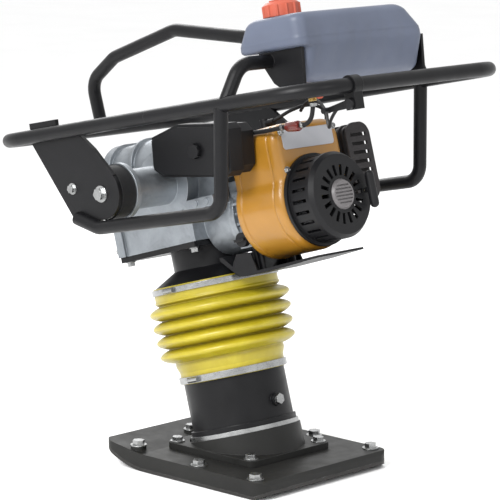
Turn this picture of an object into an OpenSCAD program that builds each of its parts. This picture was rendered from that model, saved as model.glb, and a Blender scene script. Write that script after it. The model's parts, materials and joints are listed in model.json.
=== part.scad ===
// Jumping jack rammer: a petrol-driven soil compactor, built as separate parts.
// X points to the toe, Y to the operator's left and Z up; the origin is on the ground.
// The ram line passes through the origin and leans forward by "lean".

/* [Display] */
// Part to draw, or all of them

/* [Overall] */
// Forward lean of the ram, gear case and engine (degrees)
lean = 16; // [10:0.5:20]
// Rear-up tilt of the handle frame and fuel tank (degrees)
handle_tilt = 11.5; // [6:0.5:16]

/* [Shoe] */
// Distance from the ram line to the heel
heel_x = 184; // [140:1:200]
// Where the flat underside ends and the toe starts to curl
toe_start = 104; // [60:1:120]
// Distance from the ram line to the toe tip
toe_x = 216; // [170:1:240]
// Height of the toe tip above the ground
toe_rise = 34; // [20:1:50]
// Shoe width
shoe_w = 336; // [280:1:360]
// Wear plate thickness
wear_t = 6; // [4:0.5:10]
// Height of the top of the shoe
shoe_t = 32; // [26:1:40]

/* [Leg and boot] */
// Level of the steel flange under the leg, measured along the ram line
leg_s = 64; // [60:1:80]
// Outer radius of the leg
leg_r = 92; // [70:1:95]
// Level of the top of the leg
leg_top = 186; // [170:1:200]
// Level of the top end of the boot
boot_top = 346; // [320:1:360]
// Radius over the boot ribs
boot_r = 129; // [115:1:132]
// Distance between two boot ribs
rib_pitch = 26; // [20:1:30]

/* [Gear case] */
// Level of the underside of the gear case
case_s = 416; // [400:1:418]
// Outer radius of the round upper half of the gear case
case_r = 92; // [86:1:100]
// Gear module
gear_m = 2; // [1.5:0.25:2.5]
// Teeth on the crank gear
gear_n = 68; // [60:1:80]
// Teeth on the pinion
pinion_n = 14; // [12:1:20]
// Radius of the crank pin circle, half of the ram stroke
crank_r = 28; // [20:1:40]

/* [Engine] */
// Level of the engine shaft along the ram line
shaft_s = 441; // [430:1:450]
// Distance from the ram line back to the rear face of the shroud
shroud_x = 290; // [270:1:310]
// Radius of the recoil starter housing
starter_r = 76; // [70:1:95]
// Depth of the recoil starter housing
starter_d = 60; // [40:1:70]

/* [Handle] */
// Outer radius of the main handle tube
loop_r = 12.5; // [12:0.5:18]
// Outer radius of the guard, arch and lifting tubes
guard_r = 12; // [10:0.5:15]
// Half of the distance between the two side rails
rail_y = 254; // [180:1:260]
// Height of the loop in the handle frame
loop_z = 644; // [600:1:680]
// Front cross tube, distance forward in the handle frame
loop_front = 291; // [260:1:330]
// Rear cross tube, distance back in the handle frame
loop_rear = 510; // [460:1:540]
// Centre-line bend radius of the loop corners
loop_bend = 85; // [60:1:120]

/* [Fuel tank] */
// Half of the tank width
tank_y = 158; // [120:1:170]
// Top of the tank in the handle frame
tank_top = 778; // [750:1:800]
// Wall thickness of the moulded tank
tank_wall = 4; // [3:0.5:6]

/* [Hidden] */
$fn = 64;
steel = [0.75, 0.76, 0.78];
cast_silver = [0.70, 0.71, 0.72];
satin_black = [0.09, 0.09, 0.10];
dark_plastic = [0.15, 0.15, 0.16];
boot_yellow = [0.95, 0.80, 0.15];
shroud_orange = [0.93, 0.62, 0.10];
tank_blue = [0.40, 0.44, 0.52];
cap_red = [0.85, 0.28, 0.12];
brass_tone = [0.72, 0.58, 0.28];
rubber_black = [0.07, 0.07, 0.07];
eps = 0.01;
run_gap = 0.06;
// rubber mounts, in the ram frame and in the handle frame
mount_x = -22;
mount_s = 526;
mount_xh = mount_x * cos(lean - handle_tilt) + mount_s * sin(lean - handle_tilt);
mount_zh = -mount_x * sin(lean - handle_tilt) + mount_s * cos(lean - handle_tilt);
mount_in = 210;
mount_out = 242;
mount_rad = 47;
plate_t = 8;
// gears
gear_rp = gear_m * gear_n / 2;
pinion_rp = gear_m * pinion_n / 2;
crank_s = shaft_s + gear_rp + pinion_rp;
pressure = 25;
backlash = 0.16;
gear_face = 18;
gear_x = -22;
// leg and guide
leg_in = 82;
cyl_r = 58;
cyl_in = 50;
cyl_top = 290;
rod_r = 14;
piston_s = 160;
piston_t = 12;
guide_bottom = 216;
neck_r = 69;
collar_r = 110;
// clutch
drum_r = 42;
drum_in = 38;
bell_r = 62;
bell_end = -140;
case_front = 126;
case_rear = -66;
block_end = -236;

// ---------- frames and shared shapes ----------

module ram() {
  rotate([0, lean, 0]) children();
}

module handle() {
  rotate([0, handle_tilt, 0]) children();
}

module at_shaft() {
  ram() translate([0, 0, shaft_s]) children();
}

// a cylinder lying along X between x0 and x1
module rod_x(x0, x1, r, y = 0, z = 0, r2 = -1) {
  translate([x0, y, z]) rotate([0, 90, 0]) cylinder(h = x1 - x0, r1 = r, r2 = r2 < 0 ? r : r2);
}

// a cylinder lying along Y between y0 and y1, given in either order
module rod_y(y0, y1, r, x = 0, z = 0) {
  translate([x, min(y0, y1), z]) rotate([-90, 0, 0]) cylinder(h = abs(y1 - y0), r = r);
}

module box(x0, x1, y0, y1, z0, z1) {
  translate([x0, y0, z0]) cube([x1 - x0, y1 - y0, z1 - z0]);
}

// rectangle with round corners, centred on the origin
module round_rect(w, l, r) {
  square([w - 2 * r, l], center = true);
  square([w, l - 2 * r], center = true);
  for (i = [-1, 1])
    for (j = [-1, 1])
      translate([i * (w / 2 - r), j * (l / 2 - r)]) circle(r);
}

// outline drawn in Y and Z, given depth from x0 to x1
module slab_x(x0, x1) {
  translate([x0, 0, 0]) rotate([90, 0, 90]) linear_extrude(x1 - x0) children();
}

// outline drawn in X and Z, given depth from y0 to y1
module slab_y(y0, y1) {
  translate([0, y1, 0]) rotate([90, 0, 0]) linear_extrude(y1 - y0) children();
}

module ring(h, r_out, r_in) {
  difference() {
    cylinder(h = h, r = r_out);
    translate([0, 0, -1]) cylinder(h = h + 2, r = r_in);
  }
}

// hexagon bolt head with its washer, seated on z = 0
module bolt_head(af, h) {
  washer_h = h * 0.25;
  cylinder(h = washer_h, r = af * 0.78);
  translate([0, 0, washer_h]) cylinder(h = h, r = af / 2 / cos(30), $fn = 6);
}

function unit(v) = v / norm(v);

// one rounded corner of a bent tube, at b between a and c
module tube_corner(a, b, c, r, bend) {
  d1 = unit(b - a);
  d2 = unit(c - b);
  turn = acos(d1 * d2);
  t = bend * tan(turn / 2);
  n = unit(d2 - (d2 * d1) * d1);
  z = cross(-n, d1);
  o = b - d1 * t + n * bend;
  multmatrix([[-n.x, d1.x, z.x, o.x], [-n.y, d1.y, z.y, o.y], [-n.z, d1.z, z.z, o.z], [0, 0, 0, 1]])
    rotate_extrude(angle = turn) translate([bend, 0]) circle(r);
}

function corner_trim(p, i, bend) =
  i == 0 || i == len(p) - 1 ? 0 :
  bend * tan(acos(unit(p[i] - p[i - 1]) * unit(p[i + 1] - p[i])) / 2);

// straight cylinder from a to b
module tube_leg(a, b, r) {
  d = unit(b - a);
  side = unit(abs(d.z) < 0.9 ? cross([0, 0, 1], d) : cross([0, 1, 0], d));
  up = cross(d, side);
  multmatrix([[side.x, up.x, d.x, a.x], [side.y, up.y, d.y, a.y], [side.z, up.z, d.z, a.z], [0, 0, 0, 1]])
    cylinder(h = norm(b - a), r = r);
}

// round tube through the points p with one bend radius
module bent_tube(p, r, bend) {
  for (i = [0 : len(p) - 2]) {
    d = unit(p[i + 1] - p[i]);
    tube_leg(p[i] + d * corner_trim(p, i, bend), p[i + 1] - d * corner_trim(p, i + 1, bend), r);
  }
  for (i = [1 : len(p) - 2])
    tube_corner(p[i - 1], p[i], p[i + 1], r, bend);
}

// smooth curve through the points p, "per" steps between two points
function curve_at(p, i, t) =
  let (a = p[max(i - 1, 0)], b = p[i], c = p[i + 1], d = p[min(i + 2, len(p) - 1)])
  0.5 * (2 * b + (c - a) * t + (2 * a - 5 * b + 4 * c - d) * t * t + (3 * b - a - 3 * c + d) * t * t * t);
function curve(p, per) =
  concat([for (i = [0 : len(p) - 2]) for (k = [0 : per - 1]) curve_at(p, i, k / per)], [p[len(p) - 1]]);

// ring centres of a bent tube through the points p
function bent_path(p, bend) = concat([p[0]], [
  for (i = [1 : len(p) - 2])
    let (
      d1 = unit(p[i] - p[i - 1]),
      d2 = unit(p[i + 1] - p[i]),
      turn = acos(d1 * d2),
      n = unit(d2 - (d2 * d1) * d1),
      o = p[i] - d1 * bend * tan(turn / 2) + n * bend,
      steps = max(3, round(turn / 7))
    )
    for (k = [0 : steps]) o + bend * (d1 * sin(turn * k / steps) - n * cos(turn * k / steps))
], [p[len(p) - 1]]);

// tube or cord of radius r swept through the ring centres q; ref is never along the path
module cord(q, r, ref, sides = 10) {
  n = len(q);
  rings = [
    for (i = [0 : n - 1])
      let (
        d = unit(q[min(i + 1, n - 1)] - q[max(i - 1, 0)]),
        side = unit(cross(ref, d)),
        up = cross(d, side)
      )
      for (k = [0 : sides - 1]) q[i] + r * (cos(360 * k / sides) * side + sin(360 * k / sides) * up)
  ];
  walls = [
    for (i = [0 : n - 2])
      for (k = [0 : sides - 1])
        [i * sides + k, i * sides + (k + 1) % sides, (i + 1) * sides + (k + 1) % sides, (i + 1) * sides + k]
  ];
  caps = [[for (k = [sides - 1 : -1 : 0]) k], [for (k = [0 : sides - 1]) (n - 1) * sides + k]];
  polyhedron(points = rings, faces = [for (f = concat(walls, caps)) [for (j = [len(f) - 1 : -1 : 0]) f[j]]]);
}

// coil spring standing on z = 0
module coil(r, wire, h, turns) {
  steps = turns * 12;
  cord([
    for (i = [0 : steps])
      [r * cos(30 * i), r * sin(30 * i), wire + (h - 2 * wire) * i / steps]
  ], wire, [0, 0, 1], 8);
}

// involute tooth outline
function roll_angle(r, rb) = sqrt(max(r * r / rb / rb - 1, 0)) * 180 / PI - acos(min(rb / r, 1));
function tooth_half(r, rb, rp, n) =
  90 / n - backlash / 2 / rp * 180 / PI + roll_angle(rp, rb) - roll_angle(max(r, rb), rb);

module gear_outline(n) {
  rp = gear_m * n / 2;
  rb = rp * cos(pressure);
  root = rp - 1.25 * gear_m;
  tip = rp + 0.95 * gear_m;
  first = max(root + 0.2, rb);
  radii = concat([root], [for (k = [0 : 4]) first + (tip - first) * k / 4]);
  polygon([
    for (i = [0 : n - 1])
      for (k = [0 : 2 * len(radii) - 1])
        let (
          side = k < len(radii) ? -1 : 1,
          r = radii[k < len(radii) ? k : 2 * len(radii) - 1 - k],
          a = 360 * i / n + side * tooth_half(r, rb, rp, n)
        )
        [r * cos(a), r * sin(a)]
  ]);
}

// ---------- foot ----------

toe_rad = ((toe_x - toe_start) * (toe_x - toe_start) + toe_rise * toe_rise) / (2 * toe_rise);
toe_angle = asin((toe_x - toe_start) / toe_rad);
heel_rise = 9;
heel_ramp = 20;
function sole_line(t) = concat(
  [[-heel_x, heel_rise + t], [-heel_x + heel_ramp, t]],
  [for (k = [0 : 14]) [
    toe_start + (toe_rad - t) * sin(toe_angle * k / 14),
    toe_rad - (toe_rad - t) * cos(toe_angle * k / 14)
  ]]
);
function flip(v) = [for (i = [len(v) - 1 : -1 : 0]) v[i]];

module shoe_plan(h) {
  translate([(toe_x - heel_x) / 2, 0, -1]) linear_extrude(h) round_rect(toe_x + heel_x, shoe_w, 26);
}

toe_spots = [[140, 150], [156, 0], [140, -150]];
side_spots = [[-14, 150], [-14, -150], [-152, 150], [-152, -150]];
bolt_spots = concat(toe_spots, side_spots);
foot_spots = [[103, 88], [103, -88], [-81, 88], [-81, -88]];
toe_boss = 9;

module wear_plate() {
  color(steel * 0.55) intersection() {
    slab_y(-shoe_w / 2, shoe_w / 2) polygon(concat(sole_line(0), flip(sole_line(wear_t))));
    shoe_plan(90);
  }
}

module shoe() {
  tip = sole_line(wear_t)[16];
  color(satin_black * 1.6) difference() {
    union() {
      intersection() {
        slab_y(-shoe_w / 2, shoe_w / 2)
          polygon(concat(sole_line(wear_t), [[tip.x, tip.y + 6], [118, shoe_t], [-heel_x + 6, shoe_t], [-heel_x, shoe_t - 6]]));
        shoe_plan(90);
      }
      for (p = toe_spots)
        translate([p.x, p.y, shoe_t - 6]) cylinder(h = 6 + toe_boss, r = 14);
    }
    for (p = bolt_spots)
      translate([p.x, p.y, 0]) cylinder(h = 60, r = 6.5);
  }
}

module foot_bracket() {
  base_h = 12;
  color(satin_black * 1.3) difference() {
    union() {
      translate([9, 0, shoe_t]) linear_extrude(base_h) round_rect(216, 208, 14);
      intersection() {
        ram() cylinder(h = leg_s, r1 = leg_r + 11, r2 = leg_r + 9);
        box(-200, 200, -200, 200, shoe_t, 200);
      }
    }
    ram() translate([0, 0, leg_s]) cylinder(h = 60, r = leg_r + 9.5);
    for (p = foot_spots)
      translate([p.x, p.y, 0]) cylinder(h = 80, r = 5.5);
  }
}

module foot_bolts() {
  color(steel) {
    for (p = bolt_spots)
      translate([p.x, p.y, shoe_t + (p.x > 118 ? toe_boss : 0)]) {
        bolt_head(19, 8);
        translate([0, 0, -18]) cylinder(h = 18, r = 6);
      }
    for (p = foot_spots)
      translate([p.x, p.y, shoe_t + 12]) {
        bolt_head(17, 7);
        translate([0, 0, -10]) cylinder(h = 10, r = 5);
      }
  }
}

module leg_flange() {
  color(steel) ram() translate([0, 0, leg_s]) {
    cylinder(h = 8, r = leg_r + 7);
  }
}

plug_s = 112;

module leg_tube() {
  color(satin_black) ram() difference() {
    union() {
      translate([0, 0, leg_s + 8]) cylinder(h = leg_top - leg_s - 8, r = leg_r);
      translate([0, 0, leg_s + 8]) cylinder(h = 9, r = leg_r + 4);
      rod_x(-leg_r - 6, -leg_r + 8, 12, 0, plug_s);
    }
    translate([0, 0, leg_s + 7]) cylinder(h = leg_top, r = leg_in);
    rod_x(-leg_r - 10, -leg_in + 10, 6, 0, plug_s);
  }
}

module leg_plug() {
  color(brass_tone) ram() {
    rod_x(-leg_r - 6, -leg_in - 4, 6, 0, plug_s);
    translate([-leg_r - 6, 0, plug_s]) rotate([0, -90, 0]) cylinder(h = 7, r = 10, $fn = 6);
  }
}

module lower_clamp() {
  color(steel) ram() translate([0, 0, 169]) {
    ring(12, leg_r + 7, leg_r + 3.6);
    translate([0, leg_r + 10, 6]) rotate([0, 90, 0]) cylinder(h = 24, r = 5, center = true);
  }
}

module spring_cylinder() {
  color(steel * 0.9) ram() {
    translate([0, 0, leg_s + 8]) ring(cyl_top - leg_s - 8, cyl_r, cyl_in);
    translate([0, 0, cyl_top - 10]) ring(10, cyl_in + 1, rod_r + run_gap);
  }
}

module lower_spring() {
  color(steel * 0.7) ram() translate([0, 0, leg_s + 8.4]) coil(36, 5, piston_s - leg_s - 8.8, 4);
}

module upper_spring() {
  color(steel * 0.7) ram() translate([0, 0, piston_s + piston_t + 0.4])
    coil(36, 5, cyl_top - 10 - piston_s - piston_t - 0.8, 5);
}

// ---------- ram rod ----------

module ram_rod() {
  eye_s = crank_s - crank_r;
  rod_top = 424;
  color(steel * 0.95) ram() difference() {
    union() {
      translate([0, 0, piston_s]) cylinder(h = piston_t, r = 45);
      translate([0, 0, piston_s]) cylinder(h = rod_top - piston_s, r = rod_r);
      translate([0, 0, rod_top]) cylinder(h = 8, r1 = rod_r, r2 = 9);
      box(-7, 7, -11, 11, rod_top - 4, eye_s);
      rod_x(-9, 9, 19, 0, eye_s);
    }
    rod_x(-12, 12, 9, 0, eye_s);
  }
}

// ---------- boot ----------

// wall centre line: cuff, smooth band, four ribs, smooth band, cuff
rib_top = boot_top - 46;
function boot_rad(s) =
  s > rib_top + rib_pitch / 2 ? collar_r + 1.8 :
  s < rib_top - 3.5 * rib_pitch ? leg_r + 1.8 :
  boot_r - 12 - (rib_top - s) * 0.06 + 10.5 * cos(360 * (s - rib_top) / rib_pitch);
boot_levels = concat(
  [168, 184, 196],
  [for (k = [0 : 32]) rib_top - 3.5 * rib_pitch + 2 + k * (4 * rib_pitch - 4) / 32],
  [boot_top - 24, boot_top - 14, boot_top]
);

module bellows() {
  color(boot_yellow) ram() rotate_extrude() polygon(concat(
    [for (s = boot_levels) [boot_rad(s) + 1.5, s]],
    [for (s = flip(boot_levels)) [boot_rad(s) - 1.5, s]]
  ));
}

// ---------- gear case ----------

module guide_cylinder() {
  color(steel * 0.8) ram() {
    translate([0, 0, guide_bottom]) ring(case_s - guide_bottom, 66, cyl_r + run_gap);
    translate([0, 0, case_s - 8]) ring(8, 71.5, cyl_r + run_gap);
  }
}

module boot_collar() {
  color(satin_black) ram() difference() {
    union() {
      translate([0, 0, boot_top - 14]) cylinder(h = 14, r = collar_r);
      translate([0, 0, boot_top]) cylinder(h = 24, r1 = collar_r, r2 = neck_r);
      translate([0, 0, boot_top + 24]) cylinder(h = case_s - 8 - boot_top - 24, r = neck_r);
      box(case_rear + 4, case_front + 9, -case_r, case_r, case_s - 10, case_s);
    }
    translate([0, 0, case_s - 8]) cylinder(h = 20, r = 72);
    translate([0, 0, 300]) cylinder(h = 200, r = 66);
    translate([0, 0, boot_top - 15]) cylinder(h = 12, r = collar_r - 5);
  }
}

module upper_clamp() {
  color(steel) ram() translate([0, 0, boot_top - 12]) {
    ring(10, collar_r + 6.6, collar_r + 3.4);
    translate([0, collar_r + 9, 5]) rotate([0, 90, 0]) cylinder(h = 24, r = 4.5, center = true);
  }
}

module case_outline(r) {
  c = 56;
  top = crank_s + r;
  for (side = [-1, 1])
    translate([side * (r - c), top - c]) circle(c);
  translate([-r, case_s]) square([2 * r, top - c - case_s]);
  translate([-r + c, case_s]) square([2 * (r - c), top - case_s]);
}

module crankcase() {
  color(cast_silver) ram() difference() {
    union() {
      slab_x(case_rear, case_front) case_outline(case_r);
      for (x = [-60, -3, 54])
        slab_x(x, x + 6) intersection() {
          case_outline(case_r + 5);
          translate([-150, 500]) square([300, 200]);
        }
      slab_x(case_front - 10, case_front) case_outline(case_r + 5);
      rod_x(bell_end, case_rear + 1, bell_r, 0, shaft_s);
      rod_x(bell_end, bell_end + 9, bell_r + 6, 0, shaft_s);
      box(bell_end + 2, -60, -100, 100, 470, 488);
      box(bell_end + 6, -60, -72, 72, 486, 545);
      for (side = [-1, 1]) {
        rod_y(side * 60, side * 100, 62, mount_x, mount_s);
        rod_y(side * 60, side * (mount_in - 9), 36, mount_x, mount_s);
        rod_y(side * (mount_in - 10), side * mount_in, mount_rad + 3, mount_x, mount_s);
        for (x = [-122, -94])
          rod_y(side * 100, side * 104, 6, x, 479);
      }
    }
    slab_x(case_rear + 18, case_front + 1) translate([0, crank_s]) circle(84);
    box(case_rear + 18, case_front + 1, -72, 72, case_s + 8, crank_s);
    translate([0, 0, case_s - 1]) cylinder(h = 20, r = 62);
    rod_x(bell_end - 1, case_rear, 52, 0, shaft_s);
    rod_x(case_rear - 1, case_rear + 19, 13 + run_gap, 0, crank_s);
    rod_x(case_rear - 1, case_rear + 19, 8 + run_gap, 0, shaft_s);
    translate([0, 0, 300]) cylinder(h = case_s - 300, r = 72);
  }
}

cover_angles = [-20, 20, 55, 90, 125, 160, 200];

module front_cover() {
  color(cast_silver * 0.96) ram() difference() {
    union() {
      slab_x(case_front, case_front + 9) case_outline(case_r + 5);
      rod_x(case_front + 9, case_front + 20, 58, 0, crank_s, 50);
      for (a = [0 : 60 : 300])
        translate([case_front + 8, 0, crank_s]) rotate([a, 0, 0]) box(0, 8, -4, 4, 50, 78);
      rod_x(case_front + 8, case_front + 16, 15, 0, case_s + 19);
    }
    rod_x(case_front - 1, case_front + 4, 60, 0, crank_s);
  }
}

module case_bolts() {
  color(steel) ram() {
    for (a = cover_angles)
      translate([case_front + 9, 90 * cos(a), crank_s + 90 * sin(a)]) rotate([0, 90, 0]) bolt_head(10, 6);
    for (y = [-88, 88])
      translate([case_front + 9, y, case_s + 12]) rotate([0, 90, 0]) bolt_head(10, 6);
    for (x = [-48, case_front - 3])
      for (y = [-80, 80])
        translate([x, y, case_s - 10]) rotate([180, 0, 0]) bolt_head(12, 7);
    translate([case_front + 16, 0, case_s + 19]) rotate([0, 90, 0]) bolt_head(17, 8);
  }
}

module crank_gear() {
  color(steel * 0.85) ram() translate([0, 0, crank_s]) {
    difference() {
      translate([gear_x - gear_face, 0, 0]) rotate([0, 90, 0]) linear_extrude(gear_face) gear_outline(gear_n);
      for (a = [90, 210, 330])
        rotate([a, 0, 0]) rod_x(gear_x - gear_face - 1, gear_x + 1, 15, 0, 40);
    }
    rod_x(case_rear + 0.5, gear_x - gear_face, 13);
    rod_x(gear_x, -10.5, 9, 0, -crank_r);
  }
}

module clutch_drum() {
  color(steel * 0.8) at_shaft() {
    translate([gear_x - gear_face, 0, 0]) rotate([0, 90, 0]) linear_extrude(gear_face)
      rotate(180 / pinion_n) gear_outline(pinion_n);
    rod_x(-72, gear_x - gear_face, 8);
    rod_x(-78, -72, drum_r);
    difference() {
      rod_x(-108, -78, drum_r);
      rod_x(-109, -78, drum_in);
    }
  }
}

// ---------- engine ----------

module clutch_hub() {
  color(cast_silver * 0.7) at_shaft() difference() {
    union() {
      rod_x(-106, -81, 14);
      for (a = [0, 120, 240])
        rotate([a, 0, 0]) intersection() {
          difference() {
            rod_x(-104, -83, drum_in - 1);
            rod_x(-105, -82, 24);
          }
          slab_x(-104, -83) polygon([[0, 0], [60, -80], [60, 80]]);
        }
      for (a = [0, 120, 240])
        rotate([a, 0, 0]) box(-100, -88, 10, 26, -4, 4);
    }
    rod_x(-107, -80, 9);
  }
}

module engine_rotor() {
  color(steel) at_shaft() {
    rod_x(-284, -82, 9);
    rod_x(-258, -248, 76);
    for (a = [0 : 30 : 330])
      rotate([a, 0, 0]) box(-278, -257, -1.5, 1.5, 44, 74);
  }
}

module engine_block() {
  color(cast_silver * 0.95) ram() difference() {
    union() {
      box(block_end, bell_end, -58, 58, 385, 504);
      for (z = [390 : 18 : 480])
        box(block_end + 6, bell_end - 8, -63, 63, z, z + 5);
      rod_x(bell_end - 8, bell_end, bell_r + 6, 0, shaft_s);
      box(-226, -150, -44, 44, 504, 514);
    }
    rod_x(-300, -100, 9 + run_gap, 0, shaft_s);
    rod_x(-226, -150, 30, 0, shaft_s);
  }
}

port_x = -162;
port_s = 538;

module cylinder_head() {
  color(cast_silver) ram() {
    translate([-188, 0, 514]) linear_extrude(44) round_rect(58, 66, 12);
    for (z = [517 : 9 : 553])
      translate([-188, 0, z]) linear_extrude(3) round_rect(74, 90, 10);
    rod_y(-62, 62, 12, port_x, port_s);
    translate([-188, 0, 558]) linear_extrude(14) round_rect(66, 74, 14);
  }
}

shroud_left = 75;
shroud_right = -90;
shroud_top = 582;
shroud_r = 86;
// where the plug lead ends inside the shroud
lead_end = [-250, -74, 566];

module shroud_outline(inset) {
  mid = (shroud_left + shroud_right) / 2;
  translate([0, shaft_s]) circle(shroud_r - inset);
  translate([mid, (shaft_s + shroud_top) / 2])
    round_rect(shroud_left - shroud_right - 2 * inset, shroud_top - shaft_s - 2 * inset, 30 - inset);
}

module shroud() {
  color(shroud_orange) ram() difference() {
    union() {
      slab_x(-shroud_x, -176) shroud_outline(0);
      slab_x(-shroud_x + 14, -shroud_x + 20) shroud_outline(-3);
    }
    slab_x(-shroud_x + 3, -175) shroud_outline(3);
    rod_x(-shroud_x - 1, -shroud_x + 4, 66, 0, shaft_s);
    translate([-188, -14, 560]) cylinder(h = 40, r = 13);
    rod_y(shroud_right - 1, shroud_right + 20, 4.4, lead_end.x, lead_end.z);
  }
}

module label_plate() {
  color([0.86, 0.86, 0.84]) ram() translate([-shroud_x - 1.2, -6, 552]) rotate([90, 0, 90])
    linear_extrude(1.2) round_rect(128, 34, 6);
}

module starter_housing() {
  back = -shroud_x - starter_d;
  color(dark_plastic) at_shaft() {
    difference() {
      union() {
        rod_x(back + 8, -shroud_x, starter_r);
        rod_x(back, back + 8, starter_r - 6, 0, 0, starter_r);
        rod_x(-shroud_x - 6, -shroud_x, starter_r + 6);
      }
      rod_x(back + 5, -shroud_x + 1, starter_r - 6);
      for (a = [0 : 20 : 340])
        rotate([a + 10, 0, 0]) box(back - 1, back + 6, -3.5, 3.5, 33, 52);
      rod_x(back - 1, back + 6, 4, grip_y, 0);
      for (a = [0 : 15 : 345])
        rotate([a, 0, 0]) box(-shroud_x - 44, -shroud_x - 12, -3, 3, starter_r - 8, starter_r + 1);
    }
    rod_x(back + 3, -300, 6);
  }
}

module starter_hub() {
  face = -shroud_x - starter_d;
  slot_r = 21;
  color([0.45, 0.46, 0.48]) at_shaft() difference() {
    rod_x(face - 5, face, 24, 0, 0, 27);
    for (z = [-15 : 6 : 15]) {
      w = sqrt(slot_r * slot_r - z * z);
      box(face - 6, face - 2.5, -w, w, z - 1.2, z + 1.2);
    }
  }
}

module starter_pulley() {
  color(dark_plastic * 1.4) at_shaft() difference() {
    union() {
      rod_x(-322, -318, 56);
      rod_x(-318, -312, 50);
      rod_x(-312, -308, 56);
    }
    rod_x(-323, -307, 6 + run_gap);
  }
}

grip_x = -shroud_x - starter_d;
grip_y = -60;

module starter_grip() {
  color(rubber_black * 1.4) at_shaft() translate([0, grip_y, 0]) {
    rod_x(grip_x - 9, grip_x - 2, 6, 0, 0, 4.5);
    translate([grip_x - 15, 0, -25]) cylinder(h = 50, r = 8);
    for (z = [-25, 25])
      translate([grip_x - 15, 0, z]) sphere(8, $fn = 32);
  }
}

module starter_rope() {
  color([0.85, 0.84, 0.80]) at_shaft() rod_x(grip_x - 2, grip_x + 10, 2.2, grip_y, 0);
}

muffler_y = -128;
muffler_s = 496;

module muffler() {
  color([0.22, 0.20, 0.19]) ram() {
    slab_x(-284, -154) translate([muffler_y, muffler_s]) round_rect(54, 132, 20);
    for (x = [-276 : 18 : -168])
      slab_x(x, x + 5) translate([muffler_y, muffler_s]) round_rect(60, 138, 23);
    rod_y(-104, -62, 12, port_x, port_s);
    rod_x(-154, -138, 10, muffler_y, muffler_s - 40);
    difference() {
      slab_x(-297, -293) translate([muffler_y, muffler_s]) round_rect(62, 140, 24);
      for (z = [-48 : 16 : 48])
        box(-298, -292, muffler_y - 20, muffler_y + 20, muffler_s + z - 3, muffler_s + z + 3);
    }
    for (z = [-58, 58])
      box(-294, -283, muffler_y - 12, muffler_y + 12, muffler_s + z - 2.5, muffler_s + z + 2.5);
  }
}

module carburettor() {
  color(cast_silver * 0.85) ram() {
    rod_y(62, 80, 11, port_x, port_s);
    box(port_x - 12, port_x + 14, 66, 78, port_s - 26, port_s - 6);
    rod_x(port_x + 8, port_x + 20, 5, 72, port_s);
  }
}

air_x = -10;
air_z = 590;
air_tilt = 6;

module air_frame() {
  translate([air_x, 0, air_z]) rotate([0, air_tilt, 0]) children();
}

module air_outline(inset) {
  w = 150 - 2 * inset;
  h = 92 - 2 * inset;
  c = 14;
  polygon([
    [-w / 2 + c, -h / 2], [w / 2 - c, -h / 2], [w / 2, -h / 2 + c], [w / 2, h / 2 - c],
    [w / 2 - c, h / 2], [-w / 2 + c, h / 2], [-w / 2, h / 2 - c], [-w / 2, -h / 2 + c]
  ]);
}

module cover_outline(inset) {
  x0 = -75 + inset;
  x1 = 115 - inset;
  h = 46 - inset;
  polygon([
    [x0 + 10, -h], [x1 - 24, -h], [x1, -h + 13], [x1, h - 22], [x1 - 66, h], [x0 + 10, h], [x0, h - 10], [x0, -h + 10]
  ]);
}

module air_case() {
  color(dark_plastic) air_frame() difference() {
    slab_y(80, 112) air_outline(3);
    slab_y(84, 113) air_outline(6);
  }
}

module air_cover() {
  color(dark_plastic * 0.8) air_frame() difference() {
    union() {
      slab_y(112, 144) cover_outline(0);
      slab_y(144, 150) cover_outline(5);
    }
    slab_y(111, 141) air_outline(5);
    rod_y(140, 153, 5.06);
  }
}

module air_knob() {
  color(rubber_black * 1.5) air_frame() {
    rod_y(139, 151, 5);
    rod_y(150.3, 159, 12);
    for (a = [0 : 45 : 135])
      translate([0, 154.4, 0]) rotate([0, a, 0]) cube([27, 7.4, 4], center = true);
  }
}

lead_path = [
  [-206, -14, 594], [-222, -16, 598], [-240, -34, 607], [-252, -64, 611],
  [-257, -91, 603], [-256, -101, 587], [-252, -95, 571], lead_end
];

module spark_plug() {
  color(rubber_black * 1.2) ram() {
    translate([-188, -14, 572]) cylinder(h = 8, r = 10.5, $fn = 6);
    translate([-188, -14, 580]) cylinder(h = 22, r = 8);
    rod_x(-212, -188, 6, -14, 594);
    cord(curve(lead_path, 5), 3, [1, 0, 0]);
  }
}

module choke_lever() {
  color(steel) ram() {
    rod_x(port_x + 20.3, port_x + 24, 7, 72, port_s);
    box(port_x + 20.3, port_x + 24, 70, 74, port_s + 4, port_s + 24);
  }
}

module oil_cap() {
  color(dark_plastic) ram() {
    rod_y(63.3, 74, 13, -160, 400);
    translate([-160, 77, 400]) cube([24, 6.2, 5], center = true);
  }
}

module skid_bar() {
  t = 6;
  color(satin_black) ram() {
    slab_y(-60, 60) polygon([
      [-84, 378], [-84, 372], [-124, 338], [-150, 336], [-240, 338], [-318, 342],
      [-318, 342 + t - 2], [-240, 338 + t], [-150, 336 + t], [-128, 338 + t], [-90, 378]
    ]);
    for (y = [-60, 56])
      slab_y(y, y + 4) polygon([
        [-110, 350], [-124, 338], [-150, 336], [-170, 337], [-170, 346], [-162, 374], [-128, 378], [-116, 364]
      ]);
    for (x = [-167, -155])
      for (y = [-38, 38])
        translate([x, y, 340]) cylinder(h = 45, r = 5);
  }
}

// ---------- handle frame ----------

function loop_pt(x, y) = [x, y, loop_z];
loop_split = -130;

module handle_front() {
  color(satin_black) handle()
    bent_tube([
      loop_pt(loop_split, rail_y), loop_pt(loop_front, rail_y),
      loop_pt(loop_front, -rail_y), loop_pt(loop_split, -rail_y)
    ], loop_r, loop_bend);
}

module handle_rear() {
  color(satin_black) handle()
    bent_tube([
      loop_pt(loop_split, rail_y), loop_pt(-loop_rear, rail_y),
      loop_pt(-loop_rear, -rail_y), loop_pt(loop_split, -rail_y)
    ], loop_r, loop_bend);
}

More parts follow.
